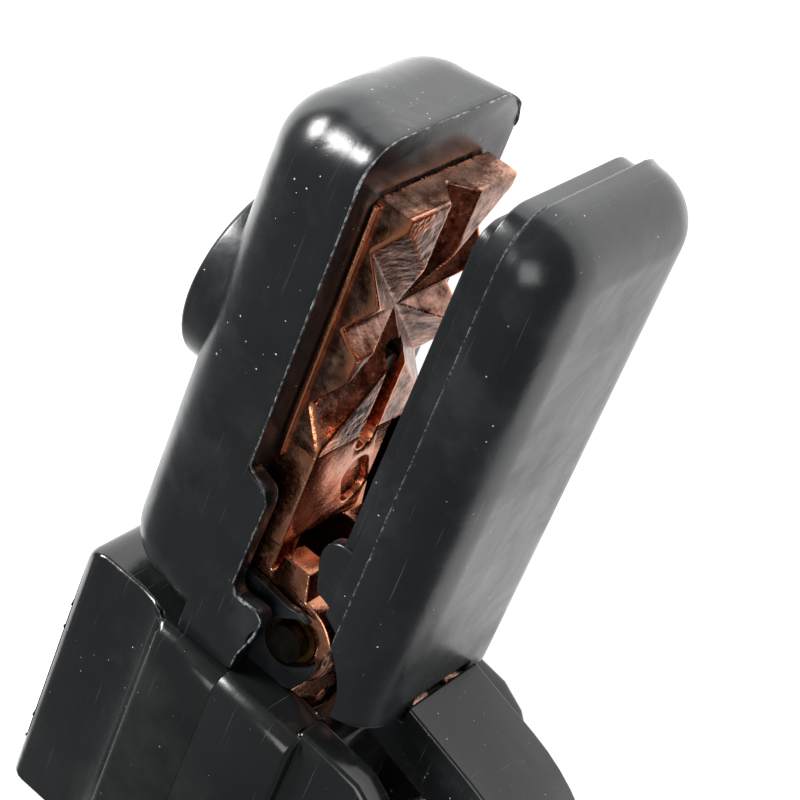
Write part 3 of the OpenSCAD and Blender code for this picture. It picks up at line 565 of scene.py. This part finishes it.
# sizes in mm: "side" is the way from the crest to the back along Y, and beyond "lean" the tip ends at "neck"
fixedTeeth = dict(x0=127.0, x1=166.7, half=11.6, crest=2.6, back=15.4, star=146.7, side=1, neck=165.7, lean=8.2,
                  foot=7.9, slotted=True)
movingTeeth = dict(x0=131.6, x1=171.3, half=11.6, crest=-6.7, back=-19.5, star=151.3, side=-1, neck=170.3,
                   lean=-12.3, foot=-12.0, slotted=False)
groove = dict(halfWidth=3.7, angle=42.5, soft=0.14, step=0.18, crossRear=2.5, crossFront=5.1, tipHalf=3.0,
              slantDepths=(3.6, 3.5), crossDepth=3.35, tipDepth=3.2, valley=0.004, valleyRise=0.063)
slot = dict(behind=13.2, halfLength=7.3, radius=1.9, wall=0.25, depth=6.5)
roughness = dict(top=((0.06, 2.3, 1), (0.03, 0.9, 2), (0.02, 0.45, 3)),  # height, size and seed of each layer
                 sides=((0.07, 1.6, 5), (0.04, 0.6, 6)))
# copper wear and painted highlights: edge rounding, and how bright orange edges, sides, facets and foot line are
# painted
wear = dict(edge=0.55, edgeReach=0.6, mostReach=0.98, shallow=1.1, gain=1.6, side=1.2, sideReach=0.7,
            patchBase=0.75, patchChange=0.6, patchSize=4.0, patchSeed=9, highlightFacetGain=1.3, deepest=4,
            fade=9, wall=0.08, foot=0.7, footHighlightReach=0.45)
# facets painted bright orange as highlights: distance ahead of the star, Z, and the half lengths along X and Z
paintedHighlightFacets = ((-17.3, 10.2, 3.4, 3.6), (18.4, 8.8, 2.6, 3.2))


# height field over X and Z: the deepest V below the crest wins, a slot may be let in, and lumps roughen it
def toothedBlock(s):
    nx = int((s["x1"] - s["x0"]) / groove["step"]) + 1
    nz = int(2 * s["half"] / groove["step"]) + 1
    x, z = np.meshgrid(np.linspace(s["x0"], s["x1"], nx), np.linspace(-s["half"], s["half"], nz), indexing="ij")
    depth = np.zeros_like(x)
    c, t = math.cos(math.radians(groove["angle"])), math.sin(math.radians(groove["angle"]))
    ahead = x - s["star"]
    # distance from each valley as a share of its half width: two that cross at a slant, one across, one to the tip
    slants = np.abs(ahead * t - z * c) / groove["halfWidth"], np.abs(ahead * t + z * c) / groove["halfWidth"]
    crossed = np.where(ahead > 0, ahead / groove["crossFront"], -ahead / groove["crossRear"])
    toTip = np.where(ahead > 0, np.abs(z) / groove["tipHalf"], np.hypot(ahead, z) / groove["tipHalf"])
    depths = groove["slantDepths"] + (groove["crossDepth"], groove["tipDepth"])
    for away, deep in zip(slants + (crossed, toTip), depths):
        v = deep * (1 - (np.sqrt(away ** 2 + groove["valley"]) - groove["valleyRise"]))
        depth = np.maximum(depth, 0.5 * (v + np.sqrt(v ** 2 + groove["soft"] ** 2)))
    if s["slotted"]:
        slotAway = np.maximum(np.abs(ahead + slot["behind"]) - slot["halfLength"], 0)
        slotAway = np.sqrt(slotAway ** 2 + z ** 2)
        depth = np.maximum(depth, np.clip((slot["radius"] - slotAway) / slot["wall"], 0, 1) * slot["depth"])
    flat = np.stack([x, np.zeros_like(x), z], -1)
    rough = sum(high * lumps(flat, size, seed) for high, size, seed in roughness["top"])
    edgeX = np.minimum(x - s["x0"], s["x1"] - x)
    edgeZ = s["half"] - np.abs(z)
    # the crest is worn round towards the block's edges, along a quarter circle
    near = np.clip(1 - np.minimum(edgeX, edgeZ) / wear["edgeReach"], 0, wear["mostReach"])
    worn = wear["edge"] * (1 - np.sqrt(1 - near ** 2))
    y = s["crest"] + s["side"] * (depth + worn + np.abs(rough))
    # crest edges bright as wear and as painted highlight; painted highlights on parts of the near flanks and of the
    # tip
    bend = np.gradient(np.gradient(depth, axis=0), axis=0) + np.gradient(np.gradient(depth, axis=1), axis=1)
    wearAndHighlight = np.where(depth < wear["shallow"], np.clip(bend / groove["step"] * wear["gain"], 0, 1), 0)
    wearAndHighlight = wearAndHighlight + np.clip(wear["side"] - edgeZ / wear["sideReach"], 0, 1)
    patches = wear["patchBase"] + wear["patchChange"] * lumps(flat, wear["patchSize"], wear["patchSeed"])
    # painted highlights on the listed facets
    highlightFacet = sum(np.clip(1 - np.hypot((ahead - fx) / halfX, (z - fz) / halfZ), 0, 1)
                for fx, fz, halfX, halfZ in paintedHighlightFacets)
    wearAndHighlight = np.clip(np.clip(wearAndHighlight * patches, 0, 1) + wear["highlightFacetGain"] * highlightFacet, 0, 1)
    wearAndHighlight = (wearAndHighlight * np.where(depth > wear["deepest"], 0, 1)).ravel()
    top = np.stack([x, y, z], -1).reshape(-1, 3)
    index = np.arange(nx * nz).reshape(nx, nz)
    faces = np.stack([index[:-1, :-1], index[1:, :-1], index[1:, 1:], index[:-1, 1:]], -1).reshape(-1, 4).tolist()
    # the rim is carried to the back, with lumps on the cast sides, and closed there
    rim = np.concatenate([index[:, 0], index[-1, 1:], index[-2::-1, -1], index[0, -2:0:-1]])
    n, levels = len(rim), 24
    t = np.linspace(0, 1, levels)[1:, None]
    wall = np.repeat(top[rim][None], levels - 1, 0)
    wall[..., 1] = top[rim][None, :, 1] * (1 - t) + s["back"] * t
    centre = np.array([(s["x0"] + s["x1"]) / 2, 0, 0])
    fromCentre = (wall - centre) / np.array([(s["x1"] - s["x0"]) / 2, 1, s["half"]])
    out = np.sign(np.round(fromCentre, 3)) * (np.abs(fromCentre) > 0.999)
    out[..., 1] = 0
    leaning = (wall[..., 0] > s["neck"]) & (s["side"] * wall[..., 1] > s["side"] * s["lean"])
    wall[..., 0] = np.where(leaning, s["neck"], wall[..., 0])
    wall -= out * sum(high * np.abs(lumps(wall, size, seed)) for high, size, seed in roughness["sides"])[..., None]
    ids = np.concatenate([rim[None], nx * nz + np.arange(n * (levels - 1)).reshape(levels - 1, n)])
    upper, lower = ids[:-1], ids[1:]
    faces += np.stack([upper, np.roll(upper, -1, 1), np.roll(lower, -1, 1), lower], -1).reshape(-1, 4).tolist()
    faces.append(ids[-1].tolist())
    piece = outward(newPiece("teeth", np.concatenate([top, wall.reshape(-1, 3)]), faces, sharp=60))
    # on the sides the brightness fades from the rim, and a painted highlight line comes back where the foot meets the
    # cover
    faded = np.clip(1 - t * wear["fade"], 0, 1) * wearAndHighlight[rim] + wear["wall"]
    footHighlight = wear["foot"] * np.exp(-((wall[..., 1] - s["foot"]) / wear["footHighlightReach"]) ** 2)
    return paintWearAndHighlight(piece, np.concatenate([wearAndHighlight, np.clip(faded + footHighlight, 0, 1).ravel()]))


# how bright orange each point of a piece is painted, for wear and for painted highlights, or one level for all of it
def paintWearAndHighlight(piece, level):
    levels = np.broadcast_to(np.asarray(level, np.float32), len(piece.data.vertices))
    piece.data.attributes.new("wearAndHighlight", "FLOAT", "POINT").data.foreach_set("value", np.ascontiguousarray(levels))
    return piece


# joins finished pieces into the first one
def joined(pieces):
    with bpy.context.temp_override(active_object=pieces[0], selected_editable_objects=pieces):
        bpy.ops.object.join()
    return pieces[0]


# the fixed jaw: teeth, the CAD shape behind them, and a thin strip along one side painted bright as a highlight
teeth = toothedBlock(fixedTeeth)
tail = paintWearAndHighlight(softened("fixed_jaw", 0.35, 2, keepBelowX=127.6), 0.55)
rail = dict(x0=124.6, x1=165.5, low=7.35, high=8.3, round=0.25, z0=11.0, z1=12.25, edge=0.3)
railCorners = [(rail["x0"], rail["low"]), (rail["x1"], rail["low"]), (rail["x1"], rail["high"]),
               (rail["x0"], rail["high"])]
railOutline = roundOutline(railCorners, rail["round"])
# painted highlight: the strip is painted almost fully bright orange
highlightStrip = paintWearAndHighlight(plate("rail", railOutline, rail["z0"], rail["z1"], rail["edge"]), 0.9)
fit(joined([teeth, tail, highlightStrip]), "fixedJaw", "body", "cast_copper", castCopper, "fixed_jaw")
# the moving jaw: teeth and the CAD shape with the knuckle
teeth = toothedBlock(movingTeeth)
tail = paintWearAndHighlight(softened("moving_jaw", 0.3, 2, keepBelowX=132.2), 0.0)
fit(joined([teeth, tail]), "movingJaw", "lever", "cast_copper", castCopper, "moving_jaw")
print("copper jaws made")

# CAD shapes with softened edges (width in mm); the seam between the body halves stays nearly sharp
bodyEdge, leverEdge, capEdge, seam = 0.9, 0.5, 0.6, 0.12
outerHalf = softened("body_outer_half", bodyEdge, seamShare=seam)
innerHalf = softened("body_inner_half", bodyEdge, seamShare=seam)
fit(outerHalf, "bodyOuterHalf", "body", "body_plastic", bodyPlastic, "body_outer_half")
fit(innerHalf, "bodyInnerHalf", "body", "body_plastic", bodyPlastic, "body_inner_half")
fit(softened("lever_cover", leverEdge), "leverCover", "lever", "lever_plastic", leverPlastic, "lever_cover")
fit(softened("end_cap", capEdge), "endCap", "body", "body_plastic", bodyPlastic, "end_cap")

# flash on the body's seam: along the top, round the front edge and a little way down
bodyFlash = dict(step=0.14, tear=1.1, low=0.02, high=0.16, thick=0.3, sink=0.3, slot="body_plastic")
bend = dict(x=90.2, z=17, radius=2.8)
frontBend = [(bend["x"] + bend["radius"] * math.cos(a), 0, bend["z"] + bend["radius"] * math.sin(a))
             for a in np.linspace(quarterTurn, 0, 9)]
flashRidge("bodySeamFlash", [(45.8, 0, 19.8)] + frontBend + [(93.0, 0, 6)], (0.5, 0, 0.86), bodyFlash, "body", 11)

# a wire carried along a helix (mm), whose first and last "closedShare" of the length lie almost flat
spring = dict(low=(52.0, -19.3), high=(87.55, -35.48), mean=5.2, wire=0.9, turns=7, first=1.0, last=36.86,
              perTurn=40, aroundWire=14, closedShare=0.11, openShare=0.78, closedPitch=0.13)
t = np.linspace(0, 1, spring["turns"] * spring["perTurn"])
dead = 2 * spring["wire"] * spring["turns"] * spring["closedPitch"]
start = np.minimum(t / spring["closedShare"], 1) * dead
climb = spring["last"] - spring["first"] - 2 * dead
middle = np.clip((t - spring["closedShare"]) / spring["openShare"], 0, 1) * climb
end = np.clip((t - (1 - spring["closedShare"])) / spring["closedShare"], 0, 1) * dead
height = spring["first"] + start + middle + end
turn = fullTurn * spring["turns"] * t
around = np.linspace(0, fullTurn, spring["aroundWire"], endpoint=False)
radius = spring["mean"] + spring["wire"] * np.cos(around)[None]
u, v = radius * np.cos(turn)[:, None], radius * np.sin(turn)[:, None]
w = height[:, None] + spring["wire"] * np.sin(around)[None]
low, high = np.array(spring["low"]), np.array(spring["high"])
along = (high - low) / np.linalg.norm(high - low)
points = np.stack([low[0] + along[0] * w - along[1] * u, low[1] + along[1] * w + along[0] * u, v], -1)
coil = outward(newPiece("spring", points.reshape(-1, 3), ringFaces(len(t), len(around)), sharp=60))
coil.data.materials.append(springWire)
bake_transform(coil)
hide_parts("spring")

# CAD nodes that stay as they are
finishes = dict(
    fixed_cover_screw=blackenedSteel, body_screws=blackenedSteel, pivot_pin=oiledSteel, pivot_bushes=darkBrass,
    cable_socket=turnedBrass, socket_grub_screws=blackenedSteel, socket_liner=redFibre, cable_grommet=blackRubber,
    body_spring_seat=seatPlastic, knuckle_bush=turnedBrass, moving_cover_screw=blackenedSteel,
    lever_blade=oiledSteel, lever_rivets=blackenedSteel, lever_screw=blackenedSteel, lever_nut=blackenedSteel,
    lever_spring_seat=seatPlastic)
for node, material in finishes.items():
    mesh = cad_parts[node].data
    mesh.materials.clear()
    mesh.materials.append(material)
print("fittings finished")

# White opal acrylic table, lit from below so that hardly any shadow shows. It is dimmer away from its middle, so
# that the far sides of the covers have something dark to mirror.
table = dict(z=-20.3, half=3000, middle=(0.14, -0.02, 0), brightTo=0.16, dimFrom=0.5, dim=0.2)
reach, z = table["half"], table["z"]
floor = newPiece("floor", [(-reach, -reach, z), (reach, -reach, z), (reach, reach, z), (-reach, reach, z)],
                 [(0, 1, 2, 3)])
lightTable, links, shader, place = newMaterial("opalAcrylicTable")
shader.inputs["Base Color"].default_value = colour("#f4f4f4")
shader.inputs["Roughness"].default_value = 0.6
shader.inputs["Emission Color"].default_value = (1, 1, 1, 1)
shifted = addNode(lightTable, "VectorMath", {0: place, 1: table["middle"]}, operation="SUBTRACT")
fromMiddle = addNode(lightTable, "VectorMath", {0: shifted.outputs[0]}, operation="LENGTH")
lit = addNode(lightTable, "MapRange", {"Value": fromMiddle.outputs["Value"], "From Min": table["brightTo"],
                                       "From Max": table["dimFrom"], "To Min": 1.0, "To Max": table["dim"]})
links.new(lit.outputs["Result"], shader.inputs["Emission Strength"])
floor.data.materials.append(lightTable)

# a dim, faintly blue room
world = bpy.data.worlds.new("studio")
bpy.context.scene.world = world
world.use_nodes = True
world.node_tree.nodes["Background"].inputs["Color"].default_value = (0.82, 0.84, 0.87, 1)
world.node_tree.nodes["Background"].inputs["Strength"].default_value = 0.24

# square soft boxes: way from the clamp, distance and size in metres, power in watts
lights = dict(
    key=dict(way=(0.50, 0.72, 0.48), distance=0.75, size=0.26, power=8.0),
    top=dict(way=(0.10, -0.20, 0.97), distance=0.9, size=0.5, power=3.0),
)
aim = Vector((0.14, 0, 0))
for name, s in lights.items():
    data = bpy.data.lights.new(name, "AREA")
    data.shape, data.size, data.energy = "SQUARE", s["size"], s["power"]
    lamp = bpy.data.objects.new(name, data)
    bpy.context.scene.collection.objects.link(lamp)
    way = Vector(s["way"]).normalized()
    lamp.location = aim + way * s["distance"]
    lamp.rotation_euler = way.to_track_quat("Z", "Y").to_euler()
bpy.context.scene.view_settings.view_transform = "Standard"
print("floor and lights placed")
